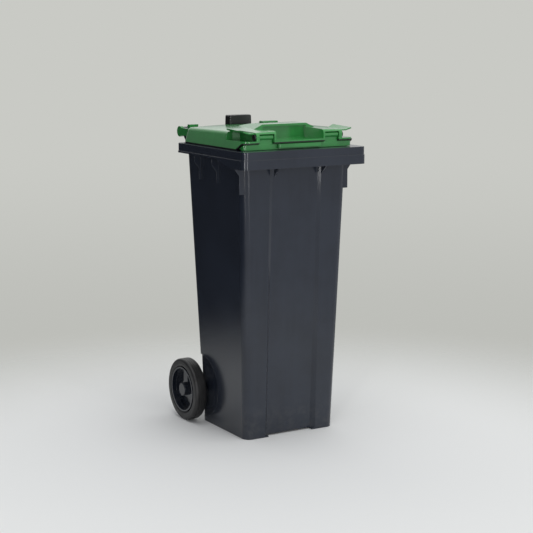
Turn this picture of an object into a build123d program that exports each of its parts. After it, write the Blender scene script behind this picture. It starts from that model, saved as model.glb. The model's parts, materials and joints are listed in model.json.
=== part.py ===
"""Two-wheel wheelie bin with a gasketed lid, a hinged front catch and a rear push handle.

Millimetres. +Z is up, the front faces -Y and +X is the right-hand side seen from behind the front rim.
The origin is on the floor, under the middle of the whole bin.
"""
import os

from build123d import *

os.makedirs("parts", exist_ok=True)

# ---- Overall sizes, with setbacks measured back from the front face of the rim
rim_width = 480.0
rim_depth = 469.0
rim_height = 990.0
hinge_setback = rim_depth + 80.0
hinge_height = rim_height + 32.0
knuckle_radius = 18.5
overall_depth = hinge_setback + knuckle_radius
front = -overall_depth / 2
rim_rear = front + rim_depth
hinge_y = front + hinge_setback

# ---- Tub walls
wall = 4.5
base_half_width = rim_width / 2 - 63.0
top_half_width = rim_width / 2 - 32.5
base_front_setback = 96.5
top_front_setback = 63.0
base_rear_setback = rim_depth - 56.0
top_rear_setback = rim_depth - 6.0
tub_corner = 27.0
foot_height = 10.0
foot_ring = 16.0
panel_base_half_width = 88.0
panel_top_half_width = 88.0
panel_base_depth = 15.0
panel_top_depth = 2.5
panel_flank = 13.0
panel_foot_gap = 5.0
dish_depth = 11.0

# ---- Lifting rim
rim_wall = 5.0
rim_corner = 18.0
rim_front_drop = 58.0
rim_side_drop = 33.0
flange_thickness = 5.0
bead_height = 27.0
bead_step = 1.2

# ---- Ribs under the rim
rib_thickness = 4.0
rib_shoulder = 18.0
rib_shoulder_drop = 24.0
comb_rib_x = 92.0
comb_rib_setback = 18.0
comb_rib_bottom = rim_height - 105.0
corner_rib_setback = 78.0
corner_rib_half_width = rim_width / 2 - 27.0
corner_rib_bottom = rim_height - 145.0
side_rib_setbacks = (233.0, 357.0)
side_rib_half_width = rim_width / 2 - 27.5
side_rib_bottom = rim_height - 120.0

# ---- Hinge
ear_inner = rim_width / 2 - 88.0
ear_width = 22.0
ear_radius = 16.0
ear_root_height = rim_height - 65.0
hinge_pin_radius = 6.0
running_clearance = 0.05
side_clearance = 1.0
knuckle_width = 11.0
blind_wall = 4.0
pin_head_radius = 9.0
pin_head_thickness = 5.0
face_gap = 0.3

# ---- Rear push handle
handle_radius = 13.0
handle_half_length = ear_inner - 28.0
handle_plate = 14.0
handle_drop = 24.0
handle_web = 24.0

# ---- Rear grip block
grip_half_width = 45.0
grip_setback = rim_depth - 34.0
grip_depth = 37.0
grip_top = rim_height + 90.0
grip_draft = 3.0
grip_corner = 8.0
grip_top_round = 5.0
grip_hollow_depth = 2.5
grip_hollow_radius = 300.0
seat_margin = 10.0
seat_thickness = 12.0
screw_spacing = 56.0
screw_radius = 3.0
screw_head_radius = 6.0
screw_head_height = 5.0
screw_length = 40.0

# ---- Running gear
axle_setback = base_rear_setback + 33.0
wheel_radius = 110.0
wheel_width = 45.0
wheel_outer_x = rim_width / 2
tyre_inner_radius = 81.0
tyre_shoulder = 9.0
tread_pitch = 9.0
tread_groove = (1.4, 2.4)
axle_radius = 10.0
hub_radius = 24.0
hub_web = 14.0
hub_rim = 6.0
spoke_count = 3
spoke_width = 30.0
hub_recess_depth = 10.0
hub_recess_margin = 5.0
axle_bracket_radius = 18.0
axle_bracket_width = 20.0
axle_bracket_reach = 62.0
axle_bracket_outer = base_half_width - 27.0
axle_bracket_inner = 52.0
spacer_radius = 14.0
cap_thickness = 6.0
latch_radius = 4.0
groove_depth = 2.5
groove_width = 10.0
dish_setback = axle_setback - 46.0
dish_height = wheel_radius + 20.0
dish_radius = wheel_radius + 2.0

# ---- Lid
lid_half_width = rim_width / 2 - 21.0
lid_front_setback = 40.0
lid_rear_setback = rim_depth - 9.0
lid_bottom = rim_height + 4.5
lid_corner = 22.0
lid_wall = 4.0
lid_side_slope = 0.21
lid_edge_round = 13.0
lid_crown_setback = 244.0
lid_tops = {
    lid_front_setback: (rim_height + 62.0, rim_height + 54.0),
    lid_crown_setback: (rim_height + 65.0, rim_height + 53.0),
    lid_rear_setback: (rim_height + 57.0, rim_height + 51.0),
}
plateau_rear_setback = 294.0
plateau_top = rim_height + 78.0
plateau_foot = rim_height + 50.0
plateau_rear_half_widths = (112.0, 60.0)
plateau_front_half_widths = (146.0, 84.0)
plateau_tail = rim_height + 64.0
visor_setback = 140.0
visor_underside = rim_height + 69.5
ridge_setback = 244.0
ridge_half_width = 30.0
ridge_depth = 24.0
ridge_top = rim_height + 81.0
pocket_back_setback = 150.0
pocket_back_half_width = 84.0
post_inner = 93.0
post_outer = lid_half_width - 52.0
ledge_bottom = rim_height + 25.0
ledge_top = ledge_bottom + 5.0
wing_end_setback = 162.0
wing_wall_inner = lid_half_width - 31.0
wing_front_setback = 50.0
wing_root = post_outer - 7.0
wing_tip = lid_half_width - 9.0
wing_root_top = rim_height + 57.0
wing_rear_top = rim_height + 67.0
wing_front_top = rim_height + 63.0
wing_thickness = 4.0
ramp_foot_setback = 88.0
ramp_head_setback = 52.0
grip_notch_gap = 7.0
grip_notch_front = grip_setback - 18.0

# ---- Hinge arms of the lid
arm_bottom = hinge_height - 13.0
arm_top = hinge_height + 13.0
arm_block_setback = hinge_setback - 54.0
arm_block_depth = 16.0
arm_block_top = hinge_height + 27.0
arm_block_inset = (3.0, 9.0)
fork_depth = 34.0

# ---- Seal
seal_thickness = 3.5
seal_width = 9.0
seal_overhang = 1.5

# ---- Front catch
catch_half_width = lid_half_width - 7.0
catch_setback = 50.0
catch_wall = 6.0
catch_corner = 12.0
catch_tip_setback = 74.0
catch_base_gap = 1.0
catch_seal_gap = 3.0
bulge_half_width = 84.0
bulge_setback = 37.0
catch_axis_setback = 52.0
catch_axis_height = rim_height + 42.0
tab_inner = 101.0
tab_outer = post_outer - 14.0
tab_radius = 8.5
tab_thickness = 5.4
notch_gap = 2.0
catch_pin_radius = 4.0
catch_pin_head_radius = 10.5
catch_pin_head_thickness = 5.0


def at_height(height, base_value, top_value):
    """Size at one height of something that runs straight from the floor to the rim."""
    return base_value + (top_value - base_value) * height / rim_height


def tub_outline(height, inset=0.0):
    """The tub's rounded outline at one height, drawn in by the inset."""
    half_width = at_height(height, base_half_width, top_half_width) - inset
    y_front = front + at_height(height, base_front_setback, top_front_setback) + inset
    y_rear = front + at_height(height, base_rear_setback, top_rear_setback) - inset
    with BuildSketch(Plane.XY.offset(height)) as outline:
        with Locations((0, (y_front + y_rear) / 2)):
            RectangleRounded(2 * half_width, y_rear - y_front, tub_corner - inset)
    return outline.sketch


def panel_outline(height, depth, half_width, margin=0.0):
    """One level of the wedge that recesses the tub's front panel, with slanting flanks."""
    y_face = front + at_height(height, base_front_setback, top_front_setback)
    y_back = y_face + depth + margin
    back_x = half_width + margin
    face_x = back_x + panel_flank
    with BuildSketch(Plane.XY.offset(height)) as outline:
        with BuildLine():
            Polyline(
                (-back_x, y_back),
                (-face_x, y_face),
                (-face_x, y_face - panel_base_depth),
                (face_x, y_face - panel_base_depth),
                (face_x, y_face),
                (back_x, y_back),
                close=True,
            )
        make_face()
    return outline.sketch


def side_profile(points, x=0.0):
    """A closed outline in a Y-Z plane, given as setback and height pairs."""
    with BuildSketch(Plane.YZ.offset(x)) as outline:
        with BuildLine():
            Polyline([(front + setback, height) for setback, height in points], close=True)
        make_face()
    return outline.sketch


def side_disc(x, setback, height, radius):
    """A round outline in a Y-Z plane."""
    with BuildSketch(Plane.YZ.offset(x)) as outline:
        with Locations((front + setback, height)):
            Circle(radius)
    return outline.sketch


def plan_rectangle(height, half_width, front_setback, rear_setback, corner=0.0):
    """A level rectangle between two setbacks, with rounded corners where a radius is given."""
    with BuildSketch(Plane.XY.offset(height)) as outline:
        with Locations((0, front + (front_setback + rear_setback) / 2)):
            if corner > 0:
                RectangleRounded(2 * half_width, rear_setback - front_setback, corner)
            else:
                Rectangle(2 * half_width, rear_setback - front_setback)
    return outline.sketch


def block(x_range, setback_range, height_range, mode=Mode.ADD):
    """A plain box between two values along each axis."""
    low = (x_range[0], front + setback_range[0], height_range[0])
    size = (x_range[1] - x_range[0], setback_range[1] - setback_range[0], height_range[1] - height_range[0])
    with Locations(low):
        Box(*size, align=(Align.MIN, Align.MIN, Align.MIN), mode=mode)


def mirrored(side, inner, outer):
    """Two X values on one side of the middle, in rising order."""
    return tuple(sorted((side * inner, side * outer)))


# ---- Sizes that several pieces share
rim_side_bottom = rim_height - rim_side_drop
rim_front_bottom = rim_height - rim_front_drop
flange_underside = rim_height - flange_thickness
floor_top = foot_height + wall
seat_half_width = grip_half_width + seat_margin
seat_front_setback = grip_setback - seat_margin
seat_rear_setback = grip_setback + grip_depth + seat_margin / 2
handle_height = hinge_height - handle_drop
axle_y = front + axle_setback
screw_y = front + grip_setback + 0.72 * grip_depth
wheel_inner_x = wheel_outer_x - wheel_width
bore_radius = hinge_pin_radius + running_clearance

# ---- Solids that shape the tub: its outer body, its front recess and its wheel dishes
with BuildPart() as tub_body:
    loft([tub_outline(0), tub_outline(rim_height)])

with BuildPart() as panel_recess:
    recess_foot = panel_outline(panel_foot_gap, panel_base_depth, panel_base_half_width)
    recess_head = panel_outline(rim_front_bottom, panel_top_depth, panel_top_half_width)
    loft([recess_foot, recess_head])

with BuildPart() as panel_backing:
    backing_foot = panel_outline(0, panel_base_depth, panel_base_half_width, wall)
    backing_head = panel_outline(rim_height + 2 * wall, panel_top_depth, panel_top_half_width, wall)
    loft([backing_foot, backing_head])


def wheel_dishes(margin):
    """Solid discs that cut a shallow dish beside each wheel."""
    dish_face = at_height(dish_height, base_half_width, top_half_width) - dish_depth - margin
    with BuildPart() as dishes:
        for side in (-1, 1):
            disc = side_disc(side * dish_face, dish_setback, dish_height, dish_radius + margin)
            extrude(disc, amount=side * 4 * dish_depth)
    return dishes.part


# ---- Space under the rim: behind its skirt, and below the stepped side skirts
step_start_setback = 84.0
step_end_setback = 212.0
with BuildPart() as rim_hollow:
    inner_half_width = rim_width / 2 - rim_wall
    hollow_bottom = rim_front_bottom - 1
    hollow = plan_rectangle(hollow_bottom, inner_half_width, rim_wall, rim_depth - rim_wall, rim_corner - rim_wall)
    extrude(hollow, amount=flange_underside - hollow_bottom)
    with BuildSketch(Plane.YZ):
        with BuildLine():
            step_start = (front + step_start_setback, rim_front_bottom)
            step_end = (front + step_end_setback, rim_side_bottom)
            Spline(step_start, step_end, tangents=((1, 0.1), (1, 0)))
            Polyline(
                step_end,
                (rim_rear + wall, rim_side_bottom),
                (rim_rear + wall, hollow_bottom),
                (front + step_start_setback, hollow_bottom),
                step_start,
            )
        make_face()
    extrude(amount=rim_width, both=True)
    add(tub_body.part, mode=Mode.SUBTRACT)

# ---- Inside of the tub
with BuildPart() as tub_cavity:
    loft([tub_outline(floor_top, wall), tub_outline(rim_height + wall, wall)])
    add(panel_backing.part, mode=Mode.SUBTRACT)
    add(wheel_dishes(wall), mode=Mode.SUBTRACT)

# ---- One-piece moulded tub: walls, lifting rim, ribs, hinge ears, handle and axle brackets
with BuildPart() as bin_body:
    loft([tub_outline(0), tub_outline(rim_height)])

    # Lifting rim, with a shallow step above its lower band
    rim_plan = plan_rectangle(rim_front_bottom, rim_width / 2, 0, rim_depth, rim_corner)
    extrude(rim_plan, amount=rim_front_drop)
    step_bottom = rim_height - bead_height
    rim_ring = plan_rectangle(step_bottom, rim_width / 2 + 1, -1, rim_depth + 1, rim_corner)
    step_half_width = rim_width / 2 - bead_step
    rim_core = plan_rectangle(step_bottom, step_half_width, bead_step, rim_depth - bead_step, rim_corner)
    extrude(rim_ring - rim_core, amount=bead_height, mode=Mode.SUBTRACT)
    add(rim_hollow.part, mode=Mode.SUBTRACT)

    # Triangular comb ribs between the front wall and the rim
    comb_root = at_height(comb_rib_bottom, base_front_setback, top_front_setback) + wall / 2
    comb_profile = (
        (comb_rib_setback, flange_underside + 1),
        (comb_rib_setback, rim_front_bottom),
        (comb_root, comb_rib_bottom),
        (comb_root, flange_underside + 1),
    )
    for x in (-comb_rib_x, comb_rib_x):
        extrude(side_profile(comb_profile, x), amount=rib_thickness / 2, both=True)

    # Ribs across each side wall, and a deeper pair beside the front corners
    rib_foot = at_height(side_rib_bottom, base_half_width, top_half_width) - wall / 2
    rib_places = [(setback, side_rib_half_width, side_rib_bottom, rib_foot) for setback in side_rib_setbacks]
    rib_places.append((corner_rib_setback, corner_rib_half_width, corner_rib_bottom, rib_foot - tub_corner / 2))
    for setback, rib_half_width, rib_bottom, rib_root in rib_places:
        for side in (-1, 1):
            with BuildSketch(Plane.XZ.offset(-(front + setback))):
                with BuildLine():
                    Polyline(
                        (side * rib_root, rib_bottom),
                        (side * rib_half_width, rib_bottom),
                        (side * rib_half_width, rim_front_bottom - rib_shoulder_drop),
                        (side * (rib_half_width + rib_shoulder), rim_front_bottom),
                        (side * (rib_half_width + rib_shoulder), flange_underside + 1),
                        (side * rib_root, flange_underside + 1),
                        close=True,
                    )
                make_face()
            extrude(amount=rib_thickness)

    # Seat for the rear grip, on the rear rim
    block(
        (-seat_half_width, seat_half_width),
        (seat_front_setback, seat_rear_setback),
        (rim_height - seat_thickness, rim_height),
    )

    # Hinge ears, and the plates that carry the push handle
    arm_root_setback = top_rear_setback - wall + 1
    arm_root_top = rim_height - 2
    ear_profile = (
        (arm_root_setback, arm_root_top),
        (rim_depth, arm_root_top),
        (hinge_setback - ear_radius / 2, hinge_height - ear_radius / 2),
        (hinge_setback - ear_radius / 2, hinge_height - ear_radius),
        (arm_root_setback, ear_root_height),
    )
    plate_profile = (
        (arm_root_setback, arm_root_top),
        (seat_rear_setback, arm_root_top),
        (hinge_setback - 2, handle_height + handle_radius - 1),
        (hinge_setback - 2, handle_height - handle_radius + 1),
        (arm_root_setback, ear_root_height),
    )
    for side in (-1, 1):
        ear_x = side * ear_inner
        extrude(side_profile(ear_profile, ear_x), amount=side * ear_width)
        extrude(side_disc(ear_x, hinge_setback, hinge_height, ear_radius), amount=side * ear_width)
        plate_x = side * (handle_half_length - handle_plate)
        extrude(side_profile(plate_profile, plate_x), amount=side * handle_plate)
    extrude(side_profile(plate_profile), amount=handle_web / 2, both=True)
    handle_disc = side_disc(-handle_half_length, hinge_setback, handle_height, handle_radius)
    extrude(handle_disc, amount=2 * handle_half_length)

    # Brackets that hold the axle behind the rear wall
    bracket_bottom = wheel_radius - axle_bracket_reach
    bracket_foot = at_height(bracket_bottom, base_rear_setback, top_rear_setback) - wall / 2
    bracket_profile = (
        (bracket_foot, bracket_bottom),
        (axle_setback + wall, wheel_radius - axle_bracket_radius + 1),
        (axle_setback + wall, wheel_radius + axle_bracket_radius - 1),
        (bracket_foot, wheel_radius + axle_bracket_reach),
    )
    for place in (-axle_bracket_outer, -axle_bracket_inner, axle_bracket_inner, axle_bracket_outer):
        extrude(side_profile(bracket_profile, place), amount=axle_bracket_width / 2, both=True)
        boss = side_disc(place, axle_setback, wheel_radius, axle_bracket_radius)
        extrude(boss, amount=axle_bracket_width / 2, both=True)

    # Everything hollow
    add(panel_recess.part, mode=Mode.SUBTRACT)
    add(wheel_dishes(0), mode=Mode.SUBTRACT)
    add(tub_cavity.part, mode=Mode.SUBTRACT)
    extrude(tub_outline(0, foot_ring), amount=foot_height, mode=Mode.SUBTRACT)
    panel_gap = plan_rectangle(0, panel_base_half_width, base_front_setback - wall, base_front_setback + 40)
    extrude(panel_gap, amount=panel_foot_gap, mode=Mode.SUBTRACT)
    axle_bore = side_disc(-rim_width / 2, axle_setback, wheel_radius, axle_radius + running_clearance)
    extrude(axle_bore, amount=rim_width, mode=Mode.SUBTRACT)
    for side in (-1, 1):
        ear_bore = side_disc(side * (ear_inner - 1), hinge_setback, hinge_height, bore_radius)
        extrude(ear_bore, amount=side * (ear_width + 2), mode=Mode.SUBTRACT)
    with Locations((0, screw_y, rim_height - seat_thickness)):
        with GridLocations(screw_spacing, 0, 2, 1):
            Cylinder(screw_radius + running_clearance, 3 * seat_thickness, mode=Mode.SUBTRACT)
            pocket_align = (Align.CENTER, Align.CENTER, Align.MAX)
            Cylinder(screw_head_radius + 1, rim_side_drop, align=pocket_align, mode=Mode.SUBTRACT)

# ---- Rear grip: a tapered block with a slightly hollow front face
with BuildPart() as rear_grip:
    grip_back = grip_setback + grip_depth
    grip_foot = plan_rectangle(rim_height, grip_half_width + grip_draft, grip_setback, grip_back, grip_corner)
    grip_head = plan_rectangle(grip_top, grip_half_width, grip_setback, grip_back, grip_corner)
    loft([grip_foot, grip_head])
    fillet(edges().group_by(Axis.Z)[-1], grip_top_round)
    hollow_y = front + grip_setback + grip_hollow_depth - grip_hollow_radius
    with Locations((0, hollow_y, rim_height)):
        hollow_align = (Align.CENTER, Align.CENTER, Align.MIN)
        Cylinder(grip_hollow_radius, rim_height, align=hollow_align, mode=Mode.SUBTRACT)
    with Locations((0, screw_y, rim_height)):
        with GridLocations(screw_spacing, 0, 2, 1):
            hole_depth = screw_length - seat_thickness + 2
            hole_align = (Align.CENTER, Align.CENTER, Align.MIN)
            Cylinder(screw_radius + running_clearance, hole_depth, align=hole_align, mode=Mode.SUBTRACT)

with BuildPart() as grip_screws:
    with Locations((0, screw_y, rim_height - seat_thickness)):
        with GridLocations(screw_spacing, 0, 2, 1):
            Cylinder(screw_radius, screw_length, align=(Align.CENTER, Align.CENTER, Align.MIN))
            Cylinder(screw_head_radius, screw_head_height, align=(Align.CENTER, Align.CENTER, Align.MAX))


# ---- Running gear
groove_x = wheel_outer_x - wheel_width / 2
axle_half_length = wheel_outer_x - cap_thickness - face_gap
with BuildPart() as axle:
    extrude(side_disc(-axle_half_length, axle_setback, wheel_radius, axle_radius), amount=2 * axle_half_length)
    chamfer(edges().group_by(Axis.X)[0] + edges().group_by(Axis.X)[-1], 1.5)
    for side in (-1, 1):
        groove = side_disc(side * groove_x, axle_setback, wheel_radius, axle_radius + 1)
        groove_core = side_disc(side * groove_x, axle_setback, wheel_radius, axle_radius - groove_depth)
        extrude(groove - groove_core, amount=groove_width / 2, both=True, mode=Mode.SUBTRACT)


def wheel_plane(x, side):
    """Plane square to the axle, with its normal pointing away from the bin."""
    return Plane(origin=(x, axle_y, wheel_radius), x_dir=(0, side, 0), z_dir=(side, 0, 0))


def make_tyre(side):
    """Solid rubber tyre with rounded shoulders and shallow tread grooves."""
    origin = (side * wheel_inner_x, axle_y, wheel_radius)
    with BuildPart() as tyre:
        with BuildSketch(Plane(origin=origin, x_dir=(side, 0, 0), z_dir=(0, -side, 0))):
            with Locations((wheel_width / 2, (tyre_inner_radius + wheel_radius) / 2)):
                RectangleRounded(wheel_width, wheel_radius - tyre_inner_radius, tyre_shoulder)
            with Locations((wheel_width / 2, wheel_radius)):
                with GridLocations(tread_pitch, 0, 3, 1):
                    Rectangle(*tread_groove, mode=Mode.SUBTRACT)
        revolve(axis=Axis((0, axle_y, wheel_radius), (1, 0, 0)))
    return tyre.part


def make_wheel_hub(side):
    """Moulded hub: rim under the tyre, web with recesses between broad spokes, and a bored boss."""
    with BuildPart() as hub:
        with BuildSketch(wheel_plane(side * wheel_inner_x, side)):
            Circle(tyre_inner_radius - face_gap)
            Circle(tyre_inner_radius - face_gap - hub_rim, mode=Mode.SUBTRACT)
        extrude(amount=wheel_width)
        with BuildSketch(wheel_plane(side * (wheel_inner_x + (wheel_width - hub_web) / 2), side)):
            Circle(tyre_inner_radius - hub_rim)
        extrude(amount=hub_web)
        with BuildSketch(wheel_plane(side * wheel_inner_x, side)):
            Circle(hub_radius)
        extrude(amount=wheel_width - cap_thickness)
        with BuildSketch(wheel_plane(side * (wheel_inner_x + (wheel_width + hub_web) / 2), side)) as recesses:
            Circle(tyre_inner_radius - hub_rim - hub_recess_margin)
            Circle(hub_radius + hub_recess_margin, mode=Mode.SUBTRACT)
            with PolarLocations(tyre_inner_radius / 2, spoke_count, start_angle=90):
                Rectangle(tyre_inner_radius, spoke_width, mode=Mode.SUBTRACT)
            fillet(recesses.vertices(), hub_recess_margin)
        extrude(amount=-hub_recess_depth, mode=Mode.SUBTRACT)
        with BuildSketch(wheel_plane(side * (wheel_inner_x - 1), side)):
            Circle(axle_radius + running_clearance)
        extrude(amount=wheel_width + 2, mode=Mode.SUBTRACT)
        latch_hole = Plane(origin=(side * groove_x, axle_y, wheel_radius), x_dir=(1, 0, 0), z_dir=(0, 0, 1))
        with BuildSketch(latch_hole):
            Circle(latch_radius + running_clearance)
        extrude(amount=hub_radius + 1, mode=Mode.SUBTRACT)
    return hub.part


def make_wheel_latch(side):
    """Round detent pin that slides in the hub and drops into the axle's groove."""
    tip = axle_radius - groove_depth + face_gap
    origin = (side * groove_x, axle_y, wheel_radius + tip)
    with BuildPart() as latch:
        with BuildSketch(Plane(origin=origin, x_dir=(1, 0, 0), z_dir=(0, 0, 1))):
            Circle(latch_radius)
        extrude(amount=hub_radius - tip)
    return latch.part


def make_axle_spacer(side):
    """Sleeve on the axle between the outer bracket and the wheel."""
    bracket_face = axle_bracket_outer + axle_bracket_width / 2
    with BuildPart() as spacer:
        with BuildSketch(wheel_plane(side * (bracket_face + face_gap), side)):
            Circle(spacer_radius)
            Circle(axle_radius + running_clearance, mode=Mode.SUBTRACT)
        extrude(amount=wheel_inner_x - bracket_face - 2 * face_gap)
    return spacer.part


def make_axle_cap(side):
    """Domed push cap over the hub's mouth, held by the hub."""
    with BuildPart() as cap:
        with BuildSketch(wheel_plane(side * (wheel_outer_x - cap_thickness), side)):
            Circle(hub_radius - 1)
        extrude(amount=cap_thickness)
        fillet(cap.edges().sort_by(Axis.X)[-1 if side > 0 else 0], 2.5)
    return cap.part


# ---- Lid
lid_top_limit = plateau_top + 12


def lid_plan(height, inset=0.0):
    """The lid's rounded outline at one height; its sides lean in as they rise."""
    lean = (height - lid_bottom) * lid_side_slope
    half_width = lid_half_width - lean - inset
    front_setback = lid_front_setback + inset
    rear_setback = lid_rear_setback - lean - inset
    return plan_rectangle(height, half_width, front_setback, rear_setback, lid_corner - min(inset, lid_corner / 2))


def crown_section(setback, drop):
    """Cross-section under the lid's main top surface at one setback, lowered by the drop."""
    middle_top, edge_top = lid_tops[setback]
    edge_x = rim_width / 2
    with BuildSketch(Plane.XZ.offset(-(front + setback))) as outline:
        with BuildLine():
            left_edge = (-edge_x, edge_top - drop)
            right_edge = (edge_x, edge_top - drop)
            ThreePointArc(left_edge, (0, middle_top - drop), right_edge)
            Polyline(right_edge, (edge_x, lid_bottom - 2 * wall), (-edge_x, lid_bottom - 2 * wall), left_edge)
        make_face()
    return outline.sketch


def crown_solid(drop=0.0):
    """Everything under the lid's doubly curved top surface."""
    with BuildPart() as crown:
        loft([crown_section(setback, drop) for setback in sorted(lid_tops)])
        crown_ends = crown.faces().sort_by(Axis.Y)
        extrude(crown_ends[0], amount=2 * wall)
        extrude(crown_ends[-1], amount=2 * wall)
    return crown.part


def plateau_plan(height, front_half_width, rear_half_width, inset):
    """Outline of the plateau at one height: it widens from its tail to the visor's edge."""
    with BuildSketch(Plane.XY.offset(height)) as outline:
        with BuildLine():
            Polyline(
                (-rear_half_width + inset, front + plateau_rear_setback),
                (-front_half_width + inset, front + visor_setback + inset),
                (front_half_width - inset, front + visor_setback + inset),
                (rear_half_width - inset, front + plateau_rear_setback),
                close=True,
            )
        make_face()
    return outline.sketch


def plateau_solid(inset=0.0):
    """Raised wedge with long flanks, which ends in the visor over the centre pocket."""
    with BuildPart() as plateau:
        foot = plateau_plan(plateau_foot, plateau_front_half_widths[0], plateau_rear_half_widths[0], inset)
        head = plateau_plan(plateau_top, plateau_front_half_widths[1], plateau_rear_half_widths[1], inset)
        loft([foot, head])
        with BuildSketch(Plane.YZ):
            with BuildLine():
                tail = (front + plateau_rear_setback + 1, plateau_tail - inset)
                crest = (front + ridge_setback - 30, plateau_top - 1.5 - inset)
                nose = (front + visor_setback - 1, plateau_top - 1 - inset)
                ThreePointArc(tail, crest, nose)
                Polyline(nose, (nose[0], plateau_foot - 1), (tail[0], plateau_foot - 1), tail)
            make_face()
        extrude(amount=rim_width, both=True, mode=Mode.INTERSECT)
    return plateau


plateau = plateau_solid()
with BuildPart() as lid_outer:
    loft([lid_plan(lid_bottom), lid_plan(lid_top_limit)])
    add(crown_solid(), mode=Mode.INTERSECT)
    fillet(lid_outer.faces().sort_by(Axis.Z)[-1].edges(), lid_edge_round)
    with BuildPart(mode=Mode.PRIVATE) as rounded_plateau:
        add(plateau.part)
        fillet(rounded_plateau.faces().sort_by(Axis.Z)[-1].edges(), 2.5)
    add(rounded_plateau.part)


# ---- Shapes that are cut from the lid, drawn with a margin where its inside has to keep clear
def centre_pocket(margin=0.0):
    """Grip pocket between the posts, narrowing towards its back wall."""
    with BuildSketch(Plane.XY.offset(ledge_top - margin)) as outline:
        with BuildLine():
            mouth = front + lid_front_setback - 10
            Polyline(
                (-post_inner - margin, mouth),
                (-pocket_back_half_width - margin, front + pocket_back_setback + margin),
                (pocket_back_half_width + margin, front + pocket_back_setback + margin),
                (post_inner + margin, mouth),
                close=True,
            )
        make_face()
    return outline.sketch


def side_pocket(side, margin=0.0):
    """Finger pocket under one wing, open to the side and to the front."""
    with BuildSketch(Plane.XY.offset(ledge_top - margin)) as outline:
        with BuildLine():
            Polyline(
                (side * (wing_wall_inner - margin), front + wing_end_setback + margin),
                (side * (post_outer - margin), front + pocket_back_setback),
                (side * (post_outer - margin), front + lid_front_setback - 10),
                (side * lid_half_width * 1.1, front + lid_front_setback - 10),
                (side * lid_half_width * 1.1, front + wing_end_setback + margin),
                close=True,
            )
        make_face()
    return outline.sketch


def wing_section(side, setback, tip_top):
    """Cross-section of a wing: a flat root over the finger pocket and a lip that flares upwards."""
    with BuildSketch(Plane.XZ.offset(-(front + setback))) as outline:
        with BuildLine():
            Polyline(
                (side * wing_root, wing_root_top - wing_thickness),
                (side * wing_root, wing_root_top),
                (side * wing_wall_inner, wing_root_top),
                (side * wing_tip, tip_top),
                (side * wing_tip, tip_top - wing_thickness),
                (side * wing_wall_inner, wing_root_top - wing_thickness),
                close=True,
            )
        make_face()
    return outline.sketch


def ramp_profile(lift=0.0, reach=1.0):
    """Side outline below the lid's stepped lower edge, which ramps up over the front catch."""
    low = lid_bottom - wall * 2
    return side_profile(
        (
            (lid_front_setback - 20, low),
            (lid_front_setback - 20, ledge_bottom + lift),
            (ramp_head_setback, ledge_bottom + lift),
            (ramp_foot_setback, lid_bottom + lift),
            (ramp_foot_setback + reach, lid_bottom + lift),
            (ramp_foot_setback + reach, low),
        )
    )


core_half_width = catch_half_width - catch_wall - 4
core_front_setback = catch_setback + catch_wall + 5
notch_half_width = grip_half_width + grip_draft + grip_notch_gap

with BuildPart() as catch_space:
    extrude(ramp_profile(), amount=rim_width, both=True)
    core = plan_rectangle(lid_bottom - 20, core_half_width, core_front_setback, lid_rear_setback, catch_corner - 6)
    extrude(core, amount=ledge_bottom - lid_bottom + 20, mode=Mode.SUBTRACT)

with BuildPart() as lid_cavity:
    loft([lid_plan(lid_bottom - 4, lid_wall), lid_plan(lid_top_limit, lid_wall)])
    add(crown_solid(lid_wall), mode=Mode.INTERSECT)
    add(plateau_solid(lid_wall).part)
    tall = lid_top_limit
    extrude(centre_pocket(lid_wall), amount=tall, mode=Mode.SUBTRACT)
    for side in (-1, 1):
        extrude(side_pocket(side, lid_wall), amount=tall, mode=Mode.SUBTRACT)
        corner_x = mirrored(side, core_half_width - lid_wall, rim_width)
        block(corner_x, (0, ramp_foot_setback + lid_wall), (lid_bottom - 20, tall), Mode.SUBTRACT)
    wide = (-rim_width, rim_width)
    block(wide, (0, core_front_setback + lid_wall), (lid_bottom - 20, tall), Mode.SUBTRACT)
    notch_back_setback = catch_axis_setback + tab_radius + notch_gap
    block(wide, (0, notch_back_setback + lid_wall), (ledge_bottom, tall), Mode.SUBTRACT)
    notch_wall_half = notch_half_width + lid_wall
    notch_x = (-notch_wall_half, notch_wall_half)
    block(notch_x, (grip_notch_front - lid_wall, rim_depth + 20), (lid_bottom - 20, tall), Mode.SUBTRACT)

arm_profile = (
    (lid_rear_setback - 14, arm_bottom),
    (lid_rear_setback - 14, arm_top),
    (hinge_setback - 2, arm_top),
    (hinge_setback, hinge_height),
    (hinge_setback - 2, arm_bottom),
)
arm_inner = ear_inner - side_clearance - knuckle_width
arm_outer = ear_inner + ear_width + side_clearance + knuckle_width

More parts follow.
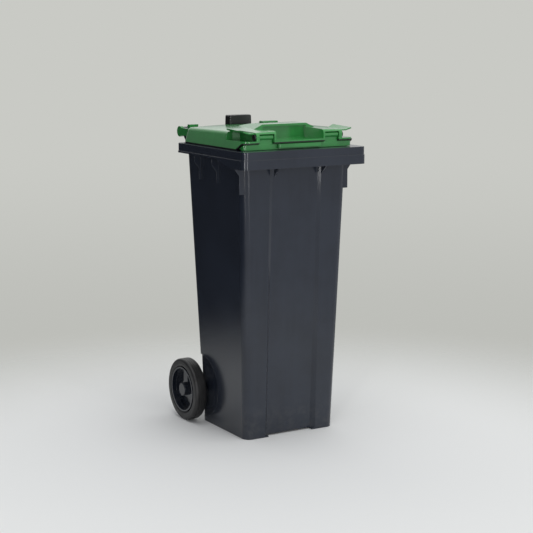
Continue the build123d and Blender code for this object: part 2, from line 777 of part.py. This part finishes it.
# ---- Lid: crowned shell with grip pockets, catch posts and forked hinge arms
with BuildPart() as lid:
    add(lid_outer.part)
    ridge_x = (-ridge_half_width, ridge_half_width)
    ridge_setbacks = (ridge_setback - ridge_depth / 2, ridge_setback + ridge_depth / 2)
    block(ridge_x, ridge_setbacks, (plateau_tail, ridge_top))
    fillet(lid.faces().filter_by(Plane.XY).sort_by(Axis.Z)[-1].edges(), 2.5)
    extrude(centre_pocket(), amount=visor_underside - ledge_top, mode=Mode.SUBTRACT)
    for side in (-1, 1):
        extrude(side_pocket(side), amount=lid_top_limit - ledge_top, mode=Mode.SUBTRACT)
        wing_front = wing_section(side, wing_front_setback, wing_front_top)
        loft([wing_front, wing_section(side, wing_end_setback, wing_rear_top)])
    add(catch_space.part, mode=Mode.SUBTRACT)
    for side in (-1, 1):
        notch_x = mirrored(side, tab_inner - notch_gap, tab_outer + notch_gap)
        notch_top = catch_axis_height + tab_radius + notch_gap
        block(notch_x, (0, core_front_setback - 1), (ledge_bottom - 8, notch_top), Mode.SUBTRACT)
        block(notch_x, (0, notch_back_setback), (ledge_top, notch_top), Mode.SUBTRACT)
        arm_x = mirrored(side, arm_inner, arm_outer)
        extrude(side_profile(arm_profile, arm_x[0]), amount=arm_x[1] - arm_x[0])
        extrude(side_disc(arm_x[0], hinge_setback, hinge_height, knuckle_radius), amount=arm_x[1] - arm_x[0])
        block_x = mirrored(side, arm_inner + arm_block_inset[0], arm_outer - arm_block_inset[1])
        block_setbacks = (arm_block_setback - arm_block_depth / 2, arm_block_setback + arm_block_depth / 2)
        block(block_x, block_setbacks, (arm_top - 1, arm_block_top))
        fork_x = mirrored(side, ear_inner - side_clearance, ear_inner + ear_width + side_clearance)
        fork_range = (hinge_setback - fork_depth, overall_depth + 1)
        block(fork_x, fork_range, (arm_bottom - 10, arm_block_top + 1), Mode.SUBTRACT)
    add(lid_cavity.part, mode=Mode.SUBTRACT)
    notch_x = (-notch_half_width, notch_half_width)
    block(notch_x, (grip_notch_front, rim_depth + 10), (lid_bottom - 1, tall), Mode.SUBTRACT)
    for side in (-1, 1):
        pin_bore = side_disc(side * (arm_inner - 1), hinge_setback, hinge_height, bore_radius)
        extrude(pin_bore, amount=side * (arm_outer - arm_inner + 1 - blind_wall), mode=Mode.SUBTRACT)
        catch_bore = side_disc(
            side * (post_inner + 3), catch_axis_setback, catch_axis_height, catch_pin_radius + running_clearance
        )
        extrude(catch_bore, amount=side * (post_outer - post_inner), mode=Mode.SUBTRACT)

# ---- Seal: one band under the lid's edge, stepping up over the catch
with BuildPart() as lid_seal:
    seal_bottom = lid_bottom - seal_thickness
    outer_plan = plan_rectangle(
        seal_bottom,
        lid_half_width - seal_overhang,
        lid_front_setback + seal_overhang,
        lid_rear_setback - seal_overhang,
        lid_corner - seal_overhang,
    )
    inner_plan = plan_rectangle(
        seal_bottom,
        lid_half_width - seal_overhang - seal_width,
        lid_front_setback + seal_overhang + seal_width,
        lid_rear_setback - seal_overhang - seal_width,
        lid_corner - seal_overhang - seal_width,
    )
    extrude(outer_plan - inner_plan, amount=ledge_bottom - seal_bottom)
    band = ramp_profile(0, rim_depth) - ramp_profile(-seal_thickness, rim_depth)
    extrude(band, amount=rim_width, both=True, mode=Mode.INTERSECT)
    for side in (-1, 1):
        gap_x = mirrored(side, tab_inner - notch_gap, tab_outer + notch_gap)
        block(gap_x, (0, ramp_foot_setback), (seal_bottom, ledge_bottom), Mode.SUBTRACT)
    notch_x = (-notch_wall_half - 1, notch_wall_half + 1)
    block(notch_x, (grip_notch_front - 10, rim_depth), (seal_bottom, ledge_bottom), Mode.SUBTRACT)

# ---- Front catch: a wrapped strip with wedge ends, a finger bulge and two hinge tabs
catch_bottom = rim_height + catch_base_gap
catch_top = ledge_bottom - seal_thickness - catch_seal_gap
with BuildPart() as front_catch:
    strip_outer = plan_rectangle(catch_bottom, catch_half_width, catch_setback, rim_depth / 2, catch_corner)
    strip_inner = plan_rectangle(
        catch_bottom,
        catch_half_width - catch_wall,
        catch_setback + catch_wall,
        rim_depth,
        catch_corner - catch_wall,
    )
    extrude(strip_outer - strip_inner, amount=catch_top - catch_bottom)
    ramp_slope = (ledge_bottom - lid_bottom) / (ramp_foot_setback - ramp_head_setback)
    tip_top = lid_bottom - seal_thickness - 1.0 + ramp_slope * (ramp_foot_setback - catch_tip_setback)
    wedge_profile = side_profile(
        (
            (0, catch_bottom),
            (catch_setback + catch_wall + 2, catch_bottom),
            (catch_tip_setback, tip_top - 2),
            (catch_tip_setback, tip_top),
            (ramp_head_setback, catch_top),
            (0, catch_top),
        )
    )
    extrude(wedge_profile, amount=rim_width, both=True, mode=Mode.INTERSECT)
    bulge = plan_rectangle(catch_bottom + 5, bulge_half_width, bulge_setback, catch_setback + 1, 6)
    extrude(bulge, amount=catch_top - catch_bottom - 5)
    finger_x = (catch_wall - bulge_half_width, bulge_half_width - catch_wall)
    finger_depth = (bulge_setback + catch_wall, catch_setback + 1)
    block(finger_x, finger_depth, (catch_bottom, catch_top - catch_wall), Mode.SUBTRACT)
    for side in (-1, 1):
        tab_x = mirrored(side, tab_inner, tab_outer)
        leg_setbacks = (catch_setback + catch_wall - tab_thickness, catch_setback + catch_wall)
        block(tab_x, leg_setbacks, (catch_top - 2 * tab_thickness, catch_axis_height))
        knuckle = side_disc(tab_x[0], catch_axis_setback, catch_axis_height, tab_radius)
        extrude(knuckle, amount=tab_x[1] - tab_x[0])
        tab_bore = side_disc(tab_x[0], catch_axis_setback, catch_axis_height, catch_pin_radius + running_clearance)
        extrude(tab_bore, amount=tab_x[1] - tab_x[0], mode=Mode.SUBTRACT)


def make_catch_pin(side):
    """Headed pin that carries one tab of the catch; its head shows in the side pocket."""
    with BuildPart() as catch_pin:
        shank_x = post_inner + 4
        shank = side_disc(side * shank_x, catch_axis_setback, catch_axis_height, catch_pin_radius)
        extrude(shank, amount=side * (post_outer - shank_x))
        head = side_disc(side * post_outer, catch_axis_setback, catch_axis_height, catch_pin_head_radius)
        extrude(head, amount=side * catch_pin_head_thickness)
        fillet(catch_pin.edges().sort_by(Axis.X)[-1 if side > 0 else 0], 1.5)
    return catch_pin.part


def make_hinge_pin(side):
    """Headed hinge pin, pushed outwards through the ear into the blind knuckle."""
    head_x = arm_inner - face_gap
    with BuildPart() as hinge_pin:
        shank = side_disc(side * head_x, hinge_setback, hinge_height, hinge_pin_radius)
        extrude(shank, amount=side * (arm_outer - blind_wall - 1 - head_x))
        head = side_disc(side * head_x, hinge_setback, hinge_height, pin_head_radius)
        extrude(head, amount=-side * pin_head_thickness)
    return hinge_pin.part


pieces = {
    "bin_body": bin_body.part,
    "rear_grip": rear_grip.part,
    "grip_screws": grip_screws.part,
    "axle": axle.part,
    "lid": lid.part,
    "lid_seal": lid_seal.part,
    "front_catch": front_catch.part,
}
for side, hand in ((-1, "left"), (1, "right")):
    pieces[f"tyre_{hand}"] = make_tyre(side)
    pieces[f"wheel_hub_{hand}"] = make_wheel_hub(side)
    pieces[f"wheel_latch_{hand}"] = make_wheel_latch(side)
    pieces[f"axle_spacer_{hand}"] = make_axle_spacer(side)
    pieces[f"hub_cap_{hand}"] = make_axle_cap(side)
    pieces[f"catch_pin_{hand}"] = make_catch_pin(side)
    pieces[f"hinge_pin_{hand}"] = make_hinge_pin(side)

for name, piece in pieces.items():
    piece.label = name
    export_step(piece, f"parts/{name}.step")
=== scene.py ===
"""Studio scene of a two-wheel wheelie bin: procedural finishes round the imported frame."""
import json
import math

import bpy
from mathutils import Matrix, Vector


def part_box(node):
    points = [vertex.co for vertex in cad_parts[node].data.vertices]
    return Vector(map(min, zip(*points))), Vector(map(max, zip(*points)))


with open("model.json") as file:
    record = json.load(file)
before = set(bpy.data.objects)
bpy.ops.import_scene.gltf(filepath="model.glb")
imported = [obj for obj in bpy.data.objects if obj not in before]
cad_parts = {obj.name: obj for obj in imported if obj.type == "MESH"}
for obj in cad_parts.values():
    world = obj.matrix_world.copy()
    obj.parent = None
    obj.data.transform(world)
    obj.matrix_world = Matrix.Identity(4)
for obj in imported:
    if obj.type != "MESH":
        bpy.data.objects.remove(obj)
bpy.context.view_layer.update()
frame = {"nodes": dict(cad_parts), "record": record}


# ---- Shader maths
class Value:
    """A shader socket. Arithmetic on it adds Math nodes to its tree."""

    def __init__(self, shading, socket):
        self.shading, self.socket = shading, socket

    def math(self, operation, *operands):
        inputs = dict(enumerate(operands))
        return self.shading.node("ShaderNodeMath", inputs, operation=operation)

    def __add__(self, other):
        return self.math("ADD", self, other)

    def __radd__(self, other):
        return self.math("ADD", other, self)

    def __sub__(self, other):
        return self.math("SUBTRACT", self, other)

    def __rsub__(self, other):
        return self.math("SUBTRACT", other, self)

    def __mul__(self, other):
        return self.math("MULTIPLY", self, other)

    def __rmul__(self, other):
        return self.math("MULTIPLY", other, self)

    def ripple(self, pitch):
        """A sine wave that repeats every pitch."""
        return self.math("SINE", self * (2 * math.pi / pitch))

    def smooth_step(self, low, high):
        """0 up to low, 1 from high on, and a smooth step between."""
        inputs = {0: self, 1: low, 2: high}
        return self.shading.node("ShaderNodeMapRange", inputs, interpolation_type="SMOOTHSTEP")


class Shading:
    """A node tree that nodes are added to."""

    def __init__(self, tree):
        self.tree = tree

    def node(self, kind, inputs=None, output=0, **settings):
        """Add a node: its settings first, then the values or links of its sockets."""
        made = self.tree.nodes.new(kind)
        for name, value in settings.items():
            setattr(made, name, value)
        for name, value in (inputs or {}).items():
            if isinstance(value, Value):
                self.tree.links.new(value.socket, made.inputs[name])
            else:
                made.inputs[name].default_value = value
        return Value(self, made.outputs[output])

    def vector_maths(self, operation, first, second=None, output=0):
        inputs = {0: first} if second is None else {0: first, 1: second}
        return self.node("ShaderNodeVectorMath", inputs, output, operation=operation)

    def length(self, vector):
        return self.vector_maths("LENGTH", vector, output="Value")

    def component(self, vector, name):
        return self.node("ShaderNodeSeparateXYZ", {0: vector}, output=name)

    def blend(self, share, first, second):
        """Mix two colours, which a Mix node takes at its sockets 6 and 7."""
        inputs = {0: share, 6: first, 7: second}
        return self.node("ShaderNodeMix", inputs, output=2, data_type="RGBA")


class Finish(Shading):
    """One node material, read in Object coordinates, ending in a Principled shader."""

    def __init__(self, name, **constants):
        self.material = bpy.data.materials.new(name)
        self.material.use_nodes = True
        super().__init__(self.material.node_tree)
        self.shader = self.tree.nodes["Principled BSDF"]
        for socket_name, value in constants.items():
            self.shader.inputs[socket_name.replace("_", " ")].default_value = value
        self.place = self.node("ShaderNodeTexCoord", output="Object")

    def noise(self, scale, detail, roughness=0.55):
        return self.noise_at(self.place, scale, detail, roughness)

    def drawn_noise(self, scales, detail, roughness=0.55):
        """Noise with its own scale along each axis, so that it is drawn out along some."""
        drawn_place = self.vector_maths("MULTIPLY", self.place, scales)
        return self.noise_at(drawn_place, 1.0, detail, roughness)

    def noise_at(self, place, scale, detail, roughness):
        inputs = {"Vector": place, "Scale": scale, "Detail": detail, "Roughness": roughness}
        return self.node("ShaderNodeTexNoise", inputs)

    def relief(self, height, strength, distance, edge_radius=0.0):
        """Bump, over edges that look softened by edge_radius."""
        inputs = {"Height": height, "Strength": strength, "Distance": distance}
        if edge_radius:
            inputs["Normal"] = self.node("ShaderNodeBevel", {"Radius": edge_radius}, samples=4)
        return self.node("ShaderNodeBump", inputs)

    def feed(self, **links):
        """Link varying values to the Principled shader's sockets."""
        for name, value in links.items():
            self.tree.links.new(value.socket, self.shader.inputs[name.replace("_", " ")])
        return self.material


def srgb(red, green, blue):
    """Linear colour with alpha from 0-255 screen values."""
    def linear(level):
        level /= 255
        return level / 12.92 if level <= 0.04045 else ((level + 0.055) / 1.055) ** 2.4

    return (linear(red), linear(green), linear(blue), 1.0)


def shade(colour, factor):
    """The same colour, lighter or darker."""
    return tuple(channel * factor for channel in colour[:3]) + (1.0,)


# ---- Finishes
def moulded_plastic(name, colour, roughness, coat=0.0, dust=0.0, edge_radius=0.0015):
    """Moulded polyethylene: flow streaks up the walls, fine grain, flat scuffs and floor dust."""
    finish = Finish(name, Roughness=roughness, IOR=1.5, Coat_Roughness=0.12)
    clouds = finish.noise(7.0, detail=4.0)
    streaks = finish.drawn_noise((38.0, 38.0, 2.2), detail=3.0)
    grain = finish.noise(950.0, detail=2.0, roughness=0.6)
    scratches = finish.drawn_noise((16.0, 16.0, 70.0), detail=6.0, roughness=0.7)
    scuffs = scratches.smooth_step(0.66, 0.8)

    tone = finish.blend(clouds.smooth_step(0.3, 0.7), shade(colour, 0.88), shade(colour, 1.12))
    tone = finish.blend(streaks.smooth_step(0.35, 0.7) * 0.3, tone, shade(colour, 1.25))
    tone = finish.blend(scuffs * 0.14, tone, shade(colour, 1.9))
    if dust:
        dust_top = 0.16
        low = 1.0 - finish.component(finish.place, "Z").smooth_step(0.0, dust_top)
        patches = finish.noise(26.0, detail=5.0, roughness=0.65).smooth_step(0.4, 0.72)
        tone = finish.blend(low * patches * dust, tone, srgb(118, 114, 106))

    gloss_change = (clouds - 0.5) * 0.06 + scuffs * 0.12 + (grain - 0.5) * 0.06
    height = grain * 0.25 + streaks * 0.2
    links = {
        "Base_Color": tone,
        "Roughness": roughness + gloss_change,
        "Normal": finish.relief(height, strength=0.25, distance=0.0004, edge_radius=edge_radius),
    }
    if coat:
        links["Coat_Weight"] = coat - scuffs * coat
    return finish.feed(**links)


def black_rubber(name, colour, roughness, ring_centre=None, ring_pitch=0.007):
    """Solid rubber: bloom, fine pores and dusty scrapes, with rings round a wheel's centre."""
    finish = Finish(name, Roughness=roughness, IOR=1.52)
    bloom = finish.noise(24.0, detail=5.0, roughness=0.65)
    pores = finish.noise(620.0, detail=3.0, roughness=0.6)
    rubs = finish.drawn_noise((240.0, 60.0, 60.0), detail=5.0, roughness=0.7)
    scrapes = rubs.smooth_step(0.56, 0.78)

    tone = finish.blend(bloom.smooth_step(0.35, 0.7), shade(colour, 0.8), shade(colour, 1.3))
    tone = finish.blend(scrapes * 0.25, tone, srgb(96, 94, 90))
    height = pores * 0.5 + scrapes * 0.4
    if ring_centre:
        spoke = finish.vector_maths("SUBTRACT", finish.place, ring_centre)
        across_the_axle = (0.0, 1.0, 1.0)
        radius = finish.length(finish.vector_maths("MULTIPLY", spoke, across_the_axle))
        height = height + radius.ripple(ring_pitch) * 0.6
    return finish.feed(
        Base_Color=tone,
        Roughness=roughness + (bloom - 0.5) * 0.2 + scrapes * 0.1,
        Normal=finish.relief(height, strength=0.4, distance=0.0006),
    )


def plated_steel(name):
    """Zinc-plated steel bar with turning lines and dull patches."""
    finish = Finish(name, Metallic=1.0, Roughness=0.32)
    lines = finish.drawn_noise((2600.0, 30.0, 30.0), detail=2.0)
    patches = finish.noise(60.0, detail=5.0, roughness=0.6)
    dull_zinc, bright_zinc = srgb(150, 152, 154), srgb(188, 189, 190)
    return finish.feed(
        Base_Color=finish.blend(patches.smooth_step(0.35, 0.7), dull_zinc, bright_zinc),
        Roughness=0.26 + patches * 0.2 + lines * 0.08,
        Normal=finish.relief(lines, strength=0.2, distance=0.0002),
    )


tyre_low, tyre_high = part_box("tyre_left")
tyre_centre = tuple((low + high) / 2 for low, high in zip(tyre_low, tyre_high))
tub_grey = srgb(35, 40, 50)
lid_green = srgb(44, 128, 60)
grip_black = srgb(19, 19, 20)
hub_grey = srgb(27, 31, 39)
tyre_black = srgb(29, 29, 30)
seal_black = srgb(16, 16, 16)
finishes = {
    "tub_plastic": moulded_plastic(
        "blue_grey_polyethylene", tub_grey, 0.17, dust=0.12, edge_radius=0.0025
    ),
    "lid_plastic": moulded_plastic("green_polyethylene", lid_green, 0.2, coat=0.5),
    "grip_plastic": moulded_plastic("black_polymer", grip_black, 0.3),
    "hub_plastic": moulded_plastic("hub_polymer", hub_grey, 0.16),
    "tyre_rubber": black_rubber("tyre_rubber", tyre_black, 0.46, ring_centre=tyre_centre),
    "seal_rubber": black_rubber("seal_rubber", seal_black, 0.55),
    "steel": plated_steel("zinc_plated_steel"),
}
for part in frame["record"]["subparts"]:
    slots = frame["nodes"][part["node"]].data.materials
    finish = finishes[part["material_slot"]]
    if len(slots) == 0:
        slots.append(finish)
    for index in range(len(slots)):
        slots[index] = finish

# ---- Stage: a pale floor with painted shade round the bin, that fades into the backdrop all round
floor_radius = 4.0
floor_drop = 0.0004
# Middle of the floor's painted shade, and of its fade into the backdrop.
shade_and_fade_centre = (-0.3, -0.5, 0.0)
fade_start, fade_end = 0.9, 2.3
bpy.ops.object.select_all(action="DESELECT")
bpy.ops.mesh.primitive_circle_add(
    vertices=128, radius=floor_radius, fill_type="NGON", location=(0, 0, -floor_drop)
)
studio_floor = bpy.context.object
studio_floor.name = "studio_floor"
floor_finish = Finish("studio_floor", Roughness=0.75, Specular_IOR_Level=0.2)
offset_from_centre = floor_finish.vector_maths("SUBTRACT", floor_finish.place, shade_and_fade_centre)
reach = floor_finish.length(offset_from_centre)
# Painted shade: the floor is a little darker round the bin and lighter further out.
floor_painted_shade_tone = floor_finish.blend(
    reach.smooth_step(0.2, 1.4), srgb(226, 227, 227), srgb(232, 233, 232)
)
floor_share = 1.0 - reach.smooth_step(fade_start, fade_end)
studio_floor.data.materials.append(floor_finish.feed(Base_Color=floor_painted_shade_tone, Alpha=floor_share))


# ---- Lamps
def softbox(name, place, width, height, power, target=(0.0, 0.0, 0.55)):
    """Rectangular area light that faces the middle of the bin."""
    light = bpy.data.lights.new(name, "AREA")
    light.shape, light.size, light.size_y, light.energy = "RECTANGLE", width, height, power
    lamp = bpy.data.objects.new(name, light)
    lamp.location = place
    towards = Vector(target) - Vector(place)
    lamp.rotation_euler = towards.to_track_quat("-Z", "Y").to_euler()
    bpy.context.scene.collection.objects.link(lamp)


softbox("overhead_softbox", (-0.4, -0.8, 3.8), width=2.4, height=2.4, power=42.0)
softbox("front_strip", (0.8, -5.3, 1.3), width=0.5, height=2.6, power=34.0)
softbox("left_strip", (-3.7, -4.0, 1.3), width=0.4, height=2.6, power=56.0)

# ---- Air: an even backdrop to look at, lit by a bright ceiling and front, and dark at the rear
world = bpy.data.worlds.new("studio_air")
world.use_nodes = True
air = Shading(world.node_tree)
direction = air.node("ShaderNodeTexCoord", output="Generated")
height = air.component(direction, "Z")
sideways = air.component(direction, "X")
front = (0.5, -0.86, 0.0)
forward = air.vector_maths("DOT_PRODUCT", direction, front, output="Value")
backdrop = air.blend(height.smooth_step(-0.22, -0.08), srgb(189, 190, 185), srgb(201, 202, 197))
front_glow = air.blend(forward.smooth_step(-0.3, 0.7), srgb(44, 45, 48), srgb(200, 202, 206))
ceiling = air.blend(sideways.smooth_step(-0.7, 0.2), srgb(96, 98, 104), srgb(246, 247, 247))
studio_light = air.blend(height.smooth_step(-0.07, 0.2), front_glow, ceiling)
seen_directly = air.node("ShaderNodeLightPath", output="Is Camera Ray")
air_tone = air.blend(seen_directly, studio_light, backdrop)
world.node_tree.links.new(air_tone.socket, world.node_tree.nodes["Background"].inputs["Color"])
bpy.context.scene.world = world
bpy.context.scene.view_settings.view_transform = "Standard"

# ---- Camera at the front left, slightly above the lid
camera_data = bpy.data.cameras.new("camera")
camera_data.lens = 94.55
camera_data.sensor_width = 36.0
camera = bpy.data.objects.new("camera", camera_data)
camera.location = (-2.4682, -4.1667, 1.3946)
turn, tilt = math.radians(30.8), math.radians(9.8)
camera.rotation_euler = (math.pi / 2 - tilt, 0.0, -turn)
bpy.context.scene.collection.objects.link(camera)
bpy.context.scene.camera = camera
